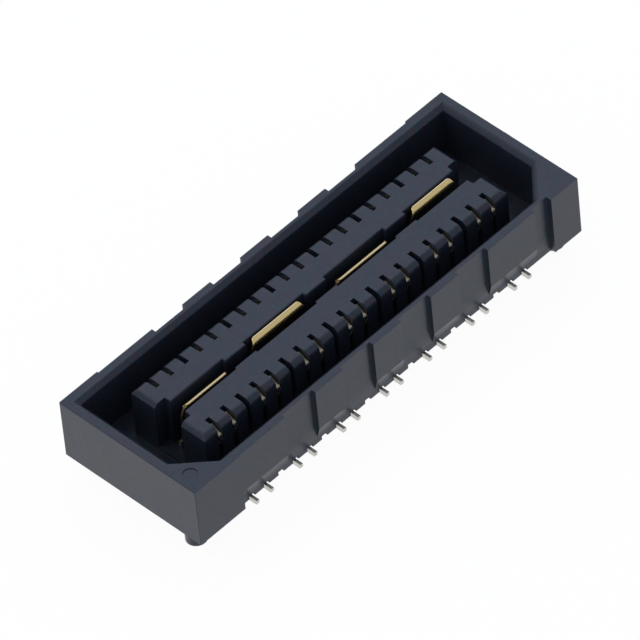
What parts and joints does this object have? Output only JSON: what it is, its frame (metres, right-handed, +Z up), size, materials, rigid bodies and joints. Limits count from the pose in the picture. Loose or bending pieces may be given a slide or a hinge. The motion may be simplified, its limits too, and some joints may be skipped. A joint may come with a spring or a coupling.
{
  "type": "board to board connector",
  "caption": "Low rectangular board to board socket with slotted tongues, paired gold contacts, a central ground strip and alignment pegs.",
  "frame": {"origin": "middle of the housing's underside, which is the plane that seats on the circuit board", "axes": "+X along the contact rows, towards the end away from pin one; +Y from the side with the polarising corners to the plain side; +Z up from the board, the way the mating half leaves"},
  "size_m": [0.0213, 0.0074, 0.0039],
  "materials": {
    "moulding": "fine matt dark grey glass-filled moulding",
    "plating": "gold-plated copper alloy, tinned at the feet"
  },
  "bodies": {
    "root": {"housing": "moulding", "ground_strip": "plating", "contact_near_01": "plating", "contact_near_02": "plating", "contact_near_04": "plating", "contact_near_05": "plating", "contact_near_07": "plating", "contact_near_08": "plating", "contact_near_10": "plating", "contact_near_11": "plating", "contact_near_13": "plating", "contact_near_14": "plating", "contact_near_16": "plating", "contact_near_17": "plating", "contact_near_19": "plating", "contact_near_20": "plating", "contact_far_01": "plating", "contact_far_02": "plating", "contact_far_04": "plating", "contact_far_05": "plating", "contact_far_07": "plating", "contact_far_08": "plating", "contact_far_10": "plating", "contact_far_11": "plating", "contact_far_13": "plating", "contact_far_14": "plating", "contact_far_16": "plating", "contact_far_17": "plating", "contact_far_19": "plating", "contact_far_20": "plating"}
  },
  "joints": []
}
